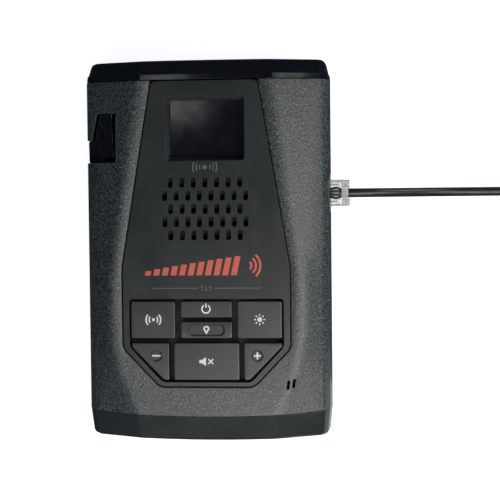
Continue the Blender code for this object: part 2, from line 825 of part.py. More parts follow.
def key_mat():
    """The silicone web under the keys, with a plunger under each."""
    levels = ((28.8 * MM, 0.3 * MM), (29.5 * MM, 0.3 * MM))
    sheet = layered("key_mat", both_sides(BAY_HALF, MM), levels, "silicone", cut=1.4 * MM)
    plungers = []
    for outline in key_outlines().values():
        x, y = key_centre(outline)
        foot, head = (x, y, 29.1 * MM), (x, y, 30.2 * MM)
        plungers.append(rod("plunger", 2.4 * MM, foot, head, None, 12, 1.9 * MM))
    join(sheet, several("mat_plungers", plungers))


# ---------------------------------------------------------------- inside


def boards():
    layered(
        "switch_board",
        both_sides(BAY_HALF, MM),
        ((BOARD_TOP - 1.2 * MM, 0.5 * MM), (BOARD_TOP, 0.5 * MM)),
        "circuit_board",
        cut=1.4 * MM,
    )
    low, high = MAIN_BOARD_Z
    outline = rectangle(-39 * MM, 39 * MM, -55 * MM, 59 * MM)
    board = layered("main_board", outline, ((low, 0), (high, 0)), "circuit_board", cut=1 * MM)
    notches = []
    for side in (-1, 1):
        for y in SCREW_YS:
            x = side * SCREW_X
            notches.append(rod("notch", 3.9 * MM, (x, y, 15 * MM), (x, y, 25 * MM), None, 16))
    edge = block("release_notch", (-45 * MM, 30 * MM, 15 * MM), (-31 * MM, 51 * MM, 25 * MM), None)
    cut(board, several("board_notches", notches), edge)


def horn(name, end_y, back_y, mouth, throat, height, low, kind):
    """A cast microwave horn that narrows from its mouth at end_y to its throat at back_y."""
    way = 1 if end_y > back_y else -1

    def loop(y, half, floor, roof):
        corners = ((-half, floor), (half, floor), (half, roof), (-half, roof))
        return [Vector((x, y, z)) for x, z in corners]

    wall = 1.6 * MM
    mid = low + height / 2
    floor, roof = mid - height * 0.3, mid + height * 0.3
    back, front = loop(back_y, throat, floor, roof), loop(end_y, mouth, low, low + height)
    shell = loft(name, [back, front], kind)
    back = loop(back_y + way * 2 * MM, throat - wall, floor + wall, roof - wall)
    front = loop(end_y + way * 1 * MM, mouth - wall, low + wall, low + height - wall)
    cut(shell, loft(name + "_hollow", [back, front], None))


def receiver():
    horn("front_horn", 59.5 * MM, 33 * MM, 25 * MM, 9 * MM, 14.5 * MM, 3.4 * MM, "die_cast")
    horn("rear_horn", -56 * MM, -32 * MM, 18 * MM, 8 * MM, 11 * MM, 3.4 * MM, "die_cast")
    low, high = (-24 * MM, 33 * MM, 21.9 * MM), (24 * MM, 57 * MM, 26.4 * MM)
    can = block("receiver_shield", low, high, "tinned_steel", 0.6 * MM)
    low, high = (-23.5 * MM, 33.5 * MM, 20 * MM), (23.5 * MM, 56.5 * MM, 25.9 * MM)
    cut(can, block("shield_hollow", low, high, None))
    low, high = (18 * MM, -2 * MM, 21.9 * MM), (36 * MM, 12 * MM, 25.9 * MM)
    block("gps_antenna", low, high, "ceramic", 0.4 * MM)
    for name, near, far in (("front_laser_sensor", 57.6, 61.6), ("rear_laser_sensor", -56.8, -53.6)):
        low, high = (-3.2 * MM, near * MM, 21.9 * MM), (3.2 * MM, far * MM, 26.5 * MM)
        block(name, low, high, "infrared_lens", 0.4 * MM)


def sockets():
    """The power socket, the USB socket and the earphone socket, all hung under the main board."""
    jack = block(
        "power_jack",
        (30 * MM, JACK_Y - 6.5 * MM, 8.1 * MM),
        (43.2 * MM, JACK_Y + 6.5 * MM, 19.6 * MM),
        "black_plastic",
    )
    room = 0.35 * MM
    bay = block(
        "jack_cavity",
        (PLUG_NOSE_X - room, JACK_Y - PLUG_WIDE / 2 - room, JACK_Z - PLUG_HIGH / 2 - room),
        (60 * MM, JACK_Y + PLUG_WIDE / 2 + room, JACK_Z + PLUG_HIGH / 2 + room),
        None,
    )
    channel = block(
        "latch_channel",
        (PLUG_NOSE_X - room, JACK_Y - 2.2 * MM, 8.9 * MM),
        (60 * MM, JACK_Y + 2.2 * MM, JACK_Z),
        None,
    )
    cut(jack, bay, channel)
    low, high = (-43.4 * MM, -12 * MM, 13.2 * MM), (-36 * MM, -4 * MM, 17.2 * MM)
    usb = block("usb_socket", low, high, "tinned_steel")
    low, high = (-50 * MM, -11.3 * MM, 13.9 * MM), (-37 * MM, -4.7 * MM, 16.5 * MM)
    cut(usb, block("usb_mouth", low, high, None))
    low, high = (-42.4 * MM, -9.9 * MM, 15.0 * MM), (-36.6 * MM, -6.1 * MM, 15.5 * MM)
    join(usb, block("usb_tongue", low, high, None))
    back, mouth = (-34 * MM, 6 * MM, 15 * MM), (-43.6 * MM, 6 * MM, 15 * MM)
    audio = rod("audio_jack", 3.0 * MM, back, mouth, "black_plastic", 20)
    depth, beyond = (-36 * MM, 6 * MM, 15 * MM), (-50 * MM, 6 * MM, 15 * MM)
    cut(audio, rod("audio_bore", 1.8 * MM, depth, beyond, None, 20))


def release_button():
    """The sunk thumb button that frees the windscreen mount."""
    inner = SCOOP_INNER_X - 1.5
    base = SCOOP_FLOOR_Z + 0.4
    stations = []
    for y, rim, ridge, hollow, foot in (
        (SCOOP_REAR_Y + 0.3, (inner, 28.9), (-37.1, 28.4), (-40.0, 25.3), (-43.6, 24.9)),
        (35.5, (inner, 29.8), (-37.2, 29.2), (-40.0, 25.9), (-43.6, 25.2)),
        (39.6, (inner, 30.9), (-36.8, 30.2), (-39.6, 27.1), (-43.6, 25.6)),
        (39.7, (inner, 30.9), (-36.8, 30.2), (-39.4, 27.3), (-41.5, 26.4)),
        (43.2, (inner, 31.9), (-35.9, 31.2), (-38.2, 28.8), (-40.6, 27.4)),
        (46.0, (inner, 32.3), (-34.9, 31.8), (-37.2, 30.1), (-39.6, 28.8)),
        (SCOOP_FRONT_Y - 0.3, (inner, 32.6), (-34.2, 32.3), (-36.5, 31.4), (-38.8, 29.9)),
    ):
        section = [rim, ridge, hollow, foot, (foot[0], base), (inner, base)]
        corners = [Vector((x * MM, y * MM, z * MM)) for x, z in section]
        stations.append(eased(corners, [0.3 * MM, 0.3 * MM, 1.2 * MM, 0.4 * MM, 0, 0], 3))
    centre = (inner * MM, (SCOOP_REAR_Y + SCOOP_FRONT_Y) / 2 * MM, 24 * MM)
    return loft("release_button", stations, "infrared_lens", origin=centre)


def screws():
    """Sunk from below: a pan head with a cross recess, and a shank up into the top cover."""
    number = 0
    for y in SCREW_YS:
        for side in (-1, 1):
            number += 1
            screw = turned(
                f"case_screw_{number}",
                (
                    (0, 28.6 * MM),
                    (SCREW_R, 28.0 * MM),
                    (SCREW_R, 2.5 * MM),
                    (SCREW_HEAD_R, 2.5 * MM),
                    (SCREW_HEAD_R, 1.1 * MM),
                    (2.0 * MM, 0.5 * MM),
                    (0, 0.4 * MM),
                ),
                "steel",
                (side * SCREW_X, y, 0),
                steps=16,
            )
            x = side * SCREW_X
            for half_x, half_y in ((1.5 * MM, 0.3 * MM), (0.3 * MM, 1.5 * MM)):
                low = (x - half_x, y - half_y, -1 * MM)
                cut(screw, block("arm", low, (x + half_x, y + half_y, 1.4 * MM), None))


def rating_label():
    low, high = (-21.6 * MM, -30.6 * MM, 0.05 * MM), (21.6 * MM, 10.6 * MM, 0.3 * MM)
    block("rating_label", low, high, "label_film")


# ---------------------------------------------------------------- power lead


def modular_plug():
    """The clear plug in the power socket, its contacts and its sprung latch tab below."""
    half_y, half_z = PLUG_WIDE / 2, PLUG_HIGH / 2
    body = block(
        "plug_body",
        (PLUG_NOSE_X, JACK_Y - half_y, JACK_Z - half_z),
        (PLUG_END_X, JACK_Y + half_y, JACK_Z + half_z),
        "clear_plastic",
    )
    entry = block(
        "core_cavity",
        (40 * MM, JACK_Y - 3.2 * MM, JACK_Z - 1.2 * MM),
        (47.5 * MM, JACK_Y + 3.2 * MM, JACK_Z + 1.6 * MM),
        None,
    )
    bore = rod("cord_bore", 2.0 * MM, (46.5 * MM, JACK_Y, JACK_Z), (60 * MM, JACK_Y, JACK_Z), None, 16)
    teeth_slot = block(
        "contact_slot",
        (36.8 * MM, JACK_Y - 3.5 * MM, JACK_Z + half_z - 1.0 * MM),
        (39.2 * MM, JACK_Y + 3.5 * MM, JACK_Z + half_z + 1 * MM),
        None,
    )
    cut(body, entry, bore, teeth_slot)
    comb_top = JACK_Z + half_z - 0.1 * MM
    comb = block(
        "plug_contacts",
        (37.1 * MM, JACK_Y - 3.2 * MM, comb_top - 0.6 * MM),
        (38.9 * MM, JACK_Y + 3.2 * MM, comb_top),
        "gold",
    )
    gaps = []
    for i in range(5):
        y = JACK_Y + (i - 2) * 1.05 * MM
        low = (36 * MM, y - 0.25 * MM, comb_top - 0.35 * MM)
        gaps.append(block("gap", low, (40 * MM, y + 0.25 * MM, 30 * MM), None))
    cut(comb, several("comb_gaps", gaps))
    bottom = JACK_Z - half_z - GAP
    tab = [(0, 0), (0, -0.7), (12.0, -3.0), (12.0, -2.3)]
    root = PLUG_NOSE_X + 1 * MM
    loops = []
    for side in (-1.6, 1.6):
        loops.append([Vector((root + x * MM, JACK_Y + side * MM, bottom + z * MM)) for x, z in tab])
    loft("plug_latch", loops, "clear_plastic", origin=(root, JACK_Y, bottom - 0.35 * MM))


def smooth_curve(points, spacing):
    """Points about spacing apart on a smooth curve through the given ones."""
    ends = [points[0] * 2 - points[1], *points, points[-1] * 2 - points[-2]]
    line = []
    for i in range(1, len(ends) - 2):
        a, b, c, d = ends[i - 1 : i + 3]
        count = max(1, round((c - b).length / spacing))
        for step in range(count):
            t = step / count
            bend = (2 * a - 5 * b + 4 * c - d) * t**2 + (3 * b - a - 3 * c + d) * t**3
            line.append((2 * b + (c - a) * t + bend) / 2)
    line.append(points[-1])
    return line


def cord_route():
    """From the plug straight out, down to the surface under its own weight, and along it to the coil."""
    route = (
        (50.9, 20.2, 15.0),
        (54.0, 20.2, 14.95),
        (58.0, 20.2, 14.5),
        (63.0, 20.2, 13.1),
        (69.0, 20.2, 10.4),
        (75.0, 20.2, 7.1),
        (81.0, 20.2, 4.2),
        (87.0, 20.2, 2.4),
        (93.0, 20.2, 1.75),
        (100.0, 20.2, 1.65),
        (114.0, 20.2, 1.65),
        (128.0, 20.2, 1.65),
        (136.0, 20.2, 1.75),
        (144.3, 20.2, 2.2),
    )
    return [Vector(p) * MM for p in route]


def cord():
    curve = bpy.data.curves.new("cord_tube", "CURVE")
    curve.dimensions = "3D"
    curve.bevel_depth = CORD_D / 2
    curve.bevel_resolution = 2
    curve.use_fill_caps = True
    points = smooth_curve(cord_route(), 2.4 * CORD_D)
    spline = curve.splines.new("POLY")
    spline.points.add(len(points) - 1)
    for target, point in zip(spline.points, points):
        target.co = (*point, 1)
    place(bpy.data.objects.new("cord_tube", curve), "cord_jacket")


def coil():
    """The stored length as one turned ring, and the strap round it."""
    outer, inner = COIL_RADII[0] + CORD_D / 2, COIL_RADII[-1] - CORD_D / 2
    top, low = COIL_LIFT + COIL_LAYERS * CORD_D, COIL_LIFT
    soft = 1.2 * MM
    centre = (COIL_CENTRE_X, JACK_Y - COIL_RADII[0], 0)
    turned(
        "cord_coil",
        (
            (inner + soft, top),
            (outer - soft, top),
            (outer, top - soft),
            (outer, low + soft),
            (outer - soft, low),
            (inner + soft, low),
            (inner, low + soft),
            (inner, top - soft),
        ),
        "cord_jacket",
        centre,
        closed=True,
    )
    x, y, _ = centre
    strap = TIE_THICK + GAP
    half = 3 * MM
    left = y - outer - strap
    right = y - math.sqrt(inner**2 - half**2) + strap
    tie = block("cord_tie", (x - half, left, 0), (x + half, right, top + strap), "silicone")
    hole = block(
        "tie_hole",
        (x - 2 * half, left + TIE_THICK, TIE_THICK),
        (x + 2 * half, right - TIE_THICK, top + GAP),
        None,
    )
    cut(tie, hole)


def accessory_plug():
    """The 12 V plug beside the coil: moulded grip, sprung centre contact and two side springs."""
    x = PLUG12_X
    way = (0, -1, 0)
    tail = (x, PLUG12_TAIL_Y, PLUG12_R)
    r = PLUG12_R
    body = turned(
        "accessory_plug_body",
        (
            (0, 60 * MM),
            (6.0 * MM, 60 * MM),
            (8.6 * MM, 57 * MM),
            (9.6 * MM, 55 * MM),
            (9.8 * MM, 36 * MM),
            (10.2 * MM, 34.5 * MM),
            (r, 33 * MM),
            (r, 18 * MM),
            (r - 1.2 * MM, 15 * MM),
            (5.2 * MM, 12.5 * MM),
            (3.6 * MM, 11.5 * MM),
            (2.9 * MM, 0),
            (0, 0),
        ),
        "black_plastic",
        tail,
        way,
    )
    nose_y = tail[1] - 60 * MM
    deep, beyond = (x, nose_y + 8 * MM, tail[2]), (x, nose_y - 5 * MM, tail[2])
    tip_bore = rod("tip_bore", 3.4 * MM, deep, beyond, None)
    recesses = []
    for side in (-1, 1):
        at = x + side * 9.0 * MM
        low = (at - 3.0 * MM, nose_y + 7 * MM, tail[2] - 2.6 * MM)
        high = (at + 3.0 * MM, nose_y + 22 * MM, tail[2] + 2.6 * MM)
        recesses.append(block("contact_recess", low, high, None))
    cut(body, tip_bore, several("contact_recesses", recesses))
    turned(
        "accessory_plug_tip",
        ((0, 6.5 * MM), (1.6 * MM, 6.0 * MM), (2.9 * MM, 3.6 * MM), (3.0 * MM, 0), (0, 0)),
        "tinned_steel",
        (x, nose_y + 3.6 * MM, tail[2]),
        way,
        steps=20,
    )
    for side, name in ((-1, "left"), (1, "right")):
        bulge = [
            (-6.6, 8.4),
            (-4.0, 9.9),
            (0, 10.7),
            (4.0, 9.9),
            (6.6, 8.4),
            (6.6, 7.8),
            (-6.6, 7.8),
        ]
        middle_y = nose_y + 14.5 * MM
        loops = []
        for z in (tail[2] - 2.2 * MM, tail[2] + 2.2 * MM):
            loops.append([Vector((x + side * out * MM, middle_y + y * MM, z)) for y, out in bulge])
        middle = (x + side * 9 * MM, middle_y, tail[2])
        loft("accessory_plug_contact_" + name, loops, "tinned_steel", origin=middle)


# ---------------------------------------------------------------- assembly

clear_scene()
PARTS = collection("radar_detector")
CUTTERS = collection("cutters")

front_cutter, rear_cutter = seam_cutters()
scoop = scoop_cutter()
top_cover(front_cutter, rear_cutter, scoop)
bottom_case(front_cutter, rear_cutter, scoop)
front_lens()
rear_bezel()
display()
control_panel()
mount_socket()
speaker()
keys()
key_mat()
boards()
receiver()
sockets()
release_button()
screws()
rating_label()
modular_plug()
cord()
coil()
accessory_plug()
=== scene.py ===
"""Looks of the radar detector: finishes, printed marks, the power lead, the studio and the camera."""

import json
import math

import bmesh
import bpy
from mathutils import Matrix, Vector


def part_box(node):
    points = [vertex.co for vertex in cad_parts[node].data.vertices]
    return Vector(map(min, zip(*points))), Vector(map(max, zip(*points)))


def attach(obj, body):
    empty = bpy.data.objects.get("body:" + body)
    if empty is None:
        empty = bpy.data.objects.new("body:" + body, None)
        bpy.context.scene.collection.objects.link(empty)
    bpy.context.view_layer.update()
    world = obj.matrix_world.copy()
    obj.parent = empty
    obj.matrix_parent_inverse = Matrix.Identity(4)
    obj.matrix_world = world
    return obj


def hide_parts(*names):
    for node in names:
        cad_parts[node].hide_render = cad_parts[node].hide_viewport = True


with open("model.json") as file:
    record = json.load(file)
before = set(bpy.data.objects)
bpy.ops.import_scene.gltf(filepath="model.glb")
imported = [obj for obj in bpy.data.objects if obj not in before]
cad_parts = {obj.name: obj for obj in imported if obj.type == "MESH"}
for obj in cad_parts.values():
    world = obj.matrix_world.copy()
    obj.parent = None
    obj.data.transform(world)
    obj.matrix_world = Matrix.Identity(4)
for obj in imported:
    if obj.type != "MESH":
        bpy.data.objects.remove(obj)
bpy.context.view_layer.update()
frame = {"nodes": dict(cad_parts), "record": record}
MM = 0.001

# Heights that the printed marks and the keys' dishes lie at.
PANEL_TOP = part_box("control_panel")[1].z
KEY_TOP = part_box("key_mute")[1].z
DISH_FLOOR = KEY_TOP - 0.55 * MM
INK = 0.035 * MM

# Middle of each key's pictogram, in millimetres.
LEGENDS_AT = {
    "sensitivity": (-19.0, -24.4),
    "power": (0.0, -20.6),
    "mark": (0.0, -28.15),
    "brightness": (19.2, -24.4),
    "volume_down": (-18.2, -37.4),
    "volume_up": (18.2, -37.4),
    "mute": (-0.4, -39.4),
}

# Power lead and its modular plug.
PLUG_LOW, PLUG_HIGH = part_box("plug_body")
PLUG_Y = (PLUG_LOW.y + PLUG_HIGH.y) / 2
CORD_D = 3.3 * MM
COIL_TURNS = (22.3 * MM, 19.0 * MM, 15.7 * MM)
COIL_LAYERS = 4
COIL_LOW_Z = 2.55 * MM
COIL_STEP = 12  # degrees between the points of a turn
CLIMB = 60  # degrees in which a turn moves over from the one before it
LEAVE = 68  # degrees at which the last turn leaves for the accessory plug

# Studio, in metres.
LOW_RING = 0.782
LOW_HEIGHT = 0.196
OVERHEAD = 0.95
WARM, PLAIN, COOL = (1.0, 0.975, 0.93), (0.92, 1.0, 1.0), (0.25, 0.70, 1.0)
CAMERA_AT = (0.0681, 0.0211, 0.540)
CAMERA_LENS = 103.2
CAMERA_TURN, CAMERA_TILT, CAMERA_ROLL = 5.89, -2.34, -0.59


# ---------------------------------------------------------------- building helpers


def add_mesh(name, shape, look, body, smooth_below=35.0):
    """Puts a bmesh in the scene as a piece that rides on a body and takes its finish from a slot."""
    bmesh.ops.recalc_face_normals(shape, faces=shape.faces)
    data = bpy.data.meshes.new(name)
    shape.to_mesh(data)
    shape.free()
    data.shade_smooth()
    data.set_sharp_from_angle(angle=math.radians(smooth_below))
    return settle(bpy.data.objects.new(name, data), look, body)


def settle(piece, look, body):
    """Links a piece to the scene, gives it its look and slot, and lets it ride on a body."""
    bpy.context.scene.collection.objects.link(piece)
    piece.data.materials.append(look)
    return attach(piece, body)


def prism(shape, outline, low, high):
    """Adds a closed prism on an outline of (x, y) to a bmesh."""
    base = [shape.verts.new((x, y, low)) for x, y in outline]
    top = [shape.verts.new((x, y, high)) for x, y in outline]
    shape.faces.new(base[::-1])
    shape.faces.new(top)
    for i in range(len(base)):
        j = (i + 1) % len(base)
        shape.faces.new((base[i], base[j], top[j], top[i]))


def arc(centre, radius, start, end, steps=24):
    """Points along an arc, with its angles in degrees."""
    points = []
    for step in range(steps + 1):
        a = math.radians(start + (end - start) * step / steps)
        points.append((centre[0] + radius * math.cos(a), centre[1] + radius * math.sin(a)))
    return points


def band(centre, radius, width, start, end, steps=24):
    """The outline of a thick arc."""
    outer = arc(centre, radius + width / 2, start, end, steps)
    inner = arc(centre, radius - width / 2, end, start, steps)
    return outer + inner


def bar(start, end, width):
    """The outline of a straight stroke."""
    along = (Vector(end) - Vector(start)).normalized()
    side = Vector((-along.y, along.x)) * width / 2
    corners = (Vector(start) - side, Vector(end) - side, Vector(end) + side, Vector(start) + side)
    return [tuple(p) for p in corners]


def box_outline(x0, x1, y0, y1):
    return [(x0, y0), (x1, y0), (x1, y1), (x0, y1)]


def smooth_curve(points, spacing):
    """Points about spacing apart on a smooth curve through the given ones."""
    ends = [points[0] * 2 - points[1], *points, points[-1] * 2 - points[-2]]
    line = []
    for i in range(1, len(ends) - 2):
        a, b, c, d = ends[i - 1 : i + 3]
        count = max(1, round((c - b).length / spacing))
        for step in range(count):
            t = step / count
            bend = (2 * a - 5 * b + 4 * c - d) * t**2
            line.append(0.5 * (2 * b + (c - a) * t + bend + (3 * b - a - 3 * c + d) * t**3))
    line.append(points[-1])
    return line


def tubes(name, lines, radius, resolution):
    """A curve object with a round tube, closed at its ends, along each line of points."""
    data = bpy.data.curves.new(name, "CURVE")
    data.dimensions = "3D"
    data.bevel_depth = radius
    data.bevel_resolution = resolution
    data.use_fill_caps = True
    for line in lines:
        spline = data.splines.new("POLY")
        spline.points.add(len(line) - 1)
        for target, point in zip(spline.points, line):
            target.co = (*point, 1)
        spline.use_smooth = True
    return bpy.data.objects.new(name, data)


# ---------------------------------------------------------------- looks


class Look:
    """A Principled material whose colour, roughness and normal are fed by procedural nodes."""

    def __init__(self, name, colour, roughness, metallic=0.0, **plain):
        self.material = bpy.data.materials.new(name)
        self.material.use_nodes = True
        self.tree = self.material.node_tree
        self.shader = self.tree.nodes["Principled BSDF"]
        self.normal = None
        self.shader.inputs["Base Color"].default_value = (*colour, 1)
        self.shader.inputs["Roughness"].default_value = roughness
        self.shader.inputs["Metallic"].default_value = metallic
        for socket, value in plain.items():
            self.shader.inputs[socket.replace("_", " ")].default_value = value
        self.place = self.node("TexCoord").outputs["Object"]

    def node(self, kind, sockets=None, **settings):
        made = self.tree.nodes.new("ShaderNode" + kind)
        for key, value in settings.items():
            setattr(made, key, value)
        for key, value in (sockets or {}).items():
            self.feed(made.inputs[key], value)
        return made

    def feed(self, socket, value):
        if isinstance(value, bpy.types.NodeSocket):
            self.tree.links.new(value, socket)
        else:
            socket.default_value = value

    def scaled(self, size, stretch=(1, 1, 1)):
        """Coordinates in which one unit is size metres."""
        factors = [s / size for s in stretch]
        return self.node("Mapping", {"Vector": self.place, "Scale": factors}).outputs[0]

    def noise(self, size, detail=3.0, stretch=(1, 1, 1)):
        """Noise from 0 to 1 whose lumps are about size metres apart."""
        sockets = {"Vector": self.scaled(size, stretch), "Scale": 1.0, "Detail": detail}
        return self.node("TexNoise", sockets).outputs["Fac"]

    def cells(self, size):
        """Distance in a cellular pattern whose cells are about size metres across."""
        sockets = {"Vector": self.scaled(size), "Scale": 1.0}
        return self.node("TexVoronoi", sockets).outputs["Distance"]

    def spread(self, value, low, high, to_low=0.0, to_high=1.0):
        """Maps low..high on to to_low..to_high, held at both ends."""
        sockets = {"Value": value, "From Min": low, "From Max": high}
        sockets |= {"To Min": to_low, "To Max": to_high}
        return self.node("MapRange", sockets).outputs[0]

    def maths(self, operation, a, b):
        return self.node("Math", {0: a, 1: b}, operation=operation).outputs[0]

    def mix(self, share, first, second):
        made = self.node("Mix", {0: share}, data_type="RGBA")
        for index, value in ((6, first), (7, second)):
            self.feed(made.inputs[index], (*value, 1) if isinstance(value, tuple) else value)
        return made.outputs[2]

    def colours(self, colour):
        self.feed(self.shader.inputs["Base Color"], colour)

    def roughen(self, value):
        self.feed(self.shader.inputs["Roughness"], value)

    def bump(self, height, distance, strength=1.0):
        """Raises the surface by distance metres where height is 1."""
        sockets = {"Height": height, "Distance": distance, "Strength": strength}
        if self.normal is not None:
            sockets["Normal"] = self.normal
        self.normal = self.node("Bump", sockets).outputs[0]
        self.feed(self.shader.inputs["Normal"], self.normal)

    def rounded(self, radius):
        """Rounds sharp edges in the shading, and returns a mask of those edges."""
        bevel = self.node("Bevel", {"Radius": radius}, samples=4)
        self.normal = bevel.outputs[0]
        self.feed(self.shader.inputs["Normal"], self.normal)
        flat = self.node("NewGeometry").outputs["Normal"]
        facing = self.node("VectorMath", {0: bevel.outputs[0], 1: flat}, operation="DOT_PRODUCT")
        return self.spread(facing.outputs["Value"], 0.995, 0.90)


def shade(colour, factor):
    return tuple(c * factor for c in colour)


def textured_case():
    """Spark-eroded plastic: rounded grain with light specks and pits, polished along its edges, where
    the colour is lightened as a painted highlight.
    """
    base = (0.0165, 0.0225, 0.0245)
    look = Look("textured_case", base, 0.50, Specular_IOR_Level=1.0)
    edge = look.rounded(0.30 * MM)
    grain = look.noise(0.85 * MM, 2.0)
    fine = look.noise(0.42 * MM, 1.0)
    pits = look.cells(0.95 * MM)
    mottled = look.mix(look.spread(grain, 0.40, 0.60), shade(base, 0.10), shade(base, 1.25))
    sparkle = look.spread(fine, 0.57, 0.66, 0.0, 0.95)
    mottled = look.mix(sparkle, mottled, shade(base, 5.6))
    dust = look.spread(look.noise(22 * MM), 0.45, 0.75, 0.0, 0.12)
    dusty = look.mix(dust, mottled, (0.034, 0.037, 0.038))
    # Painted highlight: the colour is lightened along the rounded edges.
    look.colours(look.mix(look.maths("MULTIPLY", edge, 0.55), dusty, shade(base, 3.2)))
    look.roughen(look.spread(look.maths("SUBTRACT", grain, edge), -0.4, 0.7, 0.34, 0.56))
    look.bump(look.spread(grain, 0.3, 0.7), 0.045 * MM)
    look.bump(look.spread(pits, 0.1, 0.6), 0.028 * MM)
    look.bump(fine, 0.035 * MM)
    return look.material


def satin(name, base, rough, grain_depth, smear=0.10):
    """Smooth moulded plastic with a faint grain, soft handling marks, and edges lightened in colour
    partly as rubbed wear and partly as a painted highlight.
    """
    look = Look(name, base, rough, Specular_IOR_Level=0.55)
    edge = look.rounded(0.18 * MM)
    clouds = look.noise(16 * MM, 4.0)
    streaks = look.noise(3.0 * MM, 3.0, (1.0, 0.25, 1.0))
    fine = look.noise(0.16 * MM, 2.0)
    tone = look.mix(look.spread(clouds, 0.35, 0.65), shade(base, 0.90), shade(base, 1.12))
    # Edges lightened in colour: partly rubbed wear, partly a painted highlight.
    look.colours(look.mix(look.maths("MULTIPLY", edge, 0.45), tone, shade(base, 2.6)))
    worn = look.maths("ADD", look.maths("MULTIPLY", clouds, 0.6), look.maths("MULTIPLY", streaks, 0.4))
    look.roughen(look.spread(worn, 0.3, 0.7, rough - smear / 2, rough + smear / 2))
    look.bump(fine, grain_depth)
    return look.material


def infrared_black():
    """Gloss black that lets infrared through: deep violet-black with a light haze and fine dust."""
    base, rough = (0.0040, 0.0045, 0.0080), 0.07
    look = Look("infrared_black", base, rough, Specular_IOR_Level=0.5)
    look.rounded(0.15 * MM)
    clouds = look.noise(9 * MM, 3.0)
    look.colours(look.mix(look.spread(clouds, 0.35, 0.7), base, (0.0055, 0.0055, 0.0100)))
    specks = look.spread(look.cells(1.3 * MM), 0.03, 0.09, 0.22, 0.0)
    haze = look.spread(look.noise(5 * MM, 5.0), 0.4, 0.75, rough, rough + 0.05)
    look.roughen(look.maths("ADD", haze, specks))
    look.bump(look.noise(14 * MM, 1.0), 0.010 * MM)
    return look.material


def rubbery(name, base, rough):
    """Matt rubber or soft plastic with a patchy surface."""
    look = Look(name, base, rough, Specular_IOR_Level=0.45)
    patches = look.noise(7 * MM, 4.0)
    look.colours(look.mix(look.spread(patches, 0.35, 0.7), shade(base, 0.8), shade(base, 1.35)))
    look.roughen(look.spread(patches, 0.3, 0.7, rough - 0.06, rough + 0.08))
    look.bump(look.noise(0.25 * MM, 3.0), 0.012 * MM)
    return look.material


def cord_jacket():
    """Satin PVC with a fine unevenness and paler, dusty patches."""
    base = (0.0080, 0.0125, 0.0155)
    look = Look("cord_jacket", base, 0.36, Specular_IOR_Level=0.6)
    patches = look.noise(5 * MM, 4.0)
    look.colours(look.mix(look.spread(patches, 0.35, 0.72), shade(base, 0.75), shade(base, 1.6)))
    look.roughen(look.spread(look.noise(1.2 * MM, 3.0), 0.3, 0.7, 0.30, 0.46))
    look.bump(look.noise(0.5 * MM, 3.0), 0.010 * MM)
    return look.material


def metal(name, base, rough, lump=0.6 * MM):
    """Bare or plated metal with a fine unevenness and light tarnish."""
    look = Look(name, base, rough, 1.0)
    grain = look.noise(lump, 4.0)
    tarnish = look.noise(4 * MM, 4.0)
    look.colours(look.mix(look.spread(tarnish, 0.42, 0.75), base, shade(base, 0.62)))
    look.roughen(look.spread(grain, 0.3, 0.7, rough - 0.07, rough + 0.12))
    look.bump(grain, 0.010 * MM)
    return look.material


def circuit_board():
    """Green solder resist over a grid of copper tracks."""
    resist, copper = (0.006, 0.060, 0.028), (0.020, 0.125, 0.050)
    look = Look("circuit_board", resist, 0.38)
    sockets = {"Vector": look.scaled(3.2 * MM), "Scale": 1.0}
    sockets |= {"Mortar Size": 0.06, "Mortar Smooth": 0.1}
    tracks = look.node("TexBrick", sockets).outputs["Fac"]
    look.colours(look.mix(tracks, resist, copper))
    look.roughen(look.spread(look.noise(2 * MM), 0.3, 0.7, 0.30, 0.45))
    look.bump(tracks, 0.03 * MM)
    return look.material


def fibrous(name, base, rough, lump):
    """Paper, foam or unglazed ceramic: matt, with a soft uneven surface."""
    look = Look(name, base, rough)
    fibres = look.noise(lump, 5.0, (1, 3, 1))
    look.colours(look.mix(look.spread(fibres, 0.3, 0.7), shade(base, 0.7), shade(base, 1.2)))
    look.roughen(look.spread(fibres, 0.3, 0.7, rough - 0.08, min(1.0, rough + 0.08)))
    look.bump(fibres, 0.05 * MM)
    return look.material


def clear_plastic():
    """Clear polycarbonate with moulding swirls, darker in colour along its edges."""
    look = Look("clear_plastic", (0.80, 0.82, 0.80), 0.06, Transmission_Weight=0.90, IOR=1.52)
    edge = look.rounded(0.28 * MM)
    swirl = look.noise(1.1 * MM, 4.0)
    cloudy = look.mix(look.spread(swirl, 0.35, 0.65), (0.92, 0.92, 0.90), (0.60, 0.60, 0.58))
    # The colour is darkened along the rounded edges.
    look.colours(look.mix(look.maths("MULTIPLY", edge, 0.85), cloudy, (0.24, 0.24, 0.23)))
    look.roughen(look.spread(swirl, 0.35, 0.7, 0.05, 0.28))
    look.bump(swirl, 0.05 * MM)
    return look.material


def ink(name, base):
    """Pad-printed ink: slightly broken coverage and a faint orange-peel."""
    look = Look(name, base, 0.5)
    speck = look.noise(0.30 * MM, 3.0)
    look.colours(look.mix(look.spread(speck, 0.30, 0.62), shade(base, 0.72), shade(base, 1.05)))
    look.roughen(look.spread(speck, 0.3, 0.7, 0.42, 0.58))
    look.bump(speck, 0.006 * MM)
    return look.material


def label_film():
    """A blank matt label."""
    base = (0.26, 0.27, 0.27)
    look = Look("label_film", base, 0.5)
    fibres = look.noise(0.8 * MM, 3.0)
    look.colours(look.mix(look.spread(fibres, 0.3, 0.7), shade(base, 0.92), shade(base, 1.05)))
    look.roughen(look.spread(look.noise(6 * MM), 0.3, 0.7, 0.42, 0.56))
    look.bump(fibres, 0.006 * MM)
    return look.material


def webbing():
    """The weave of a hook-and-loop strap."""
    base = (0.018, 0.019, 0.021)
    look = Look("strap_webbing", base, 0.85, Sheen_Weight=0.3)
    weave = look.cells(0.45 * MM)
    look.colours(look.mix(look.spread(weave, 0.1, 0.6), shade(base, 1.7), shade(base, 0.6)))
    look.roughen(look.spread(weave, 0.1, 0.6, 0.78, 0.95))
    look.bump(look.spread(weave, 0.0, 0.7), -0.10 * MM)
    return look.material


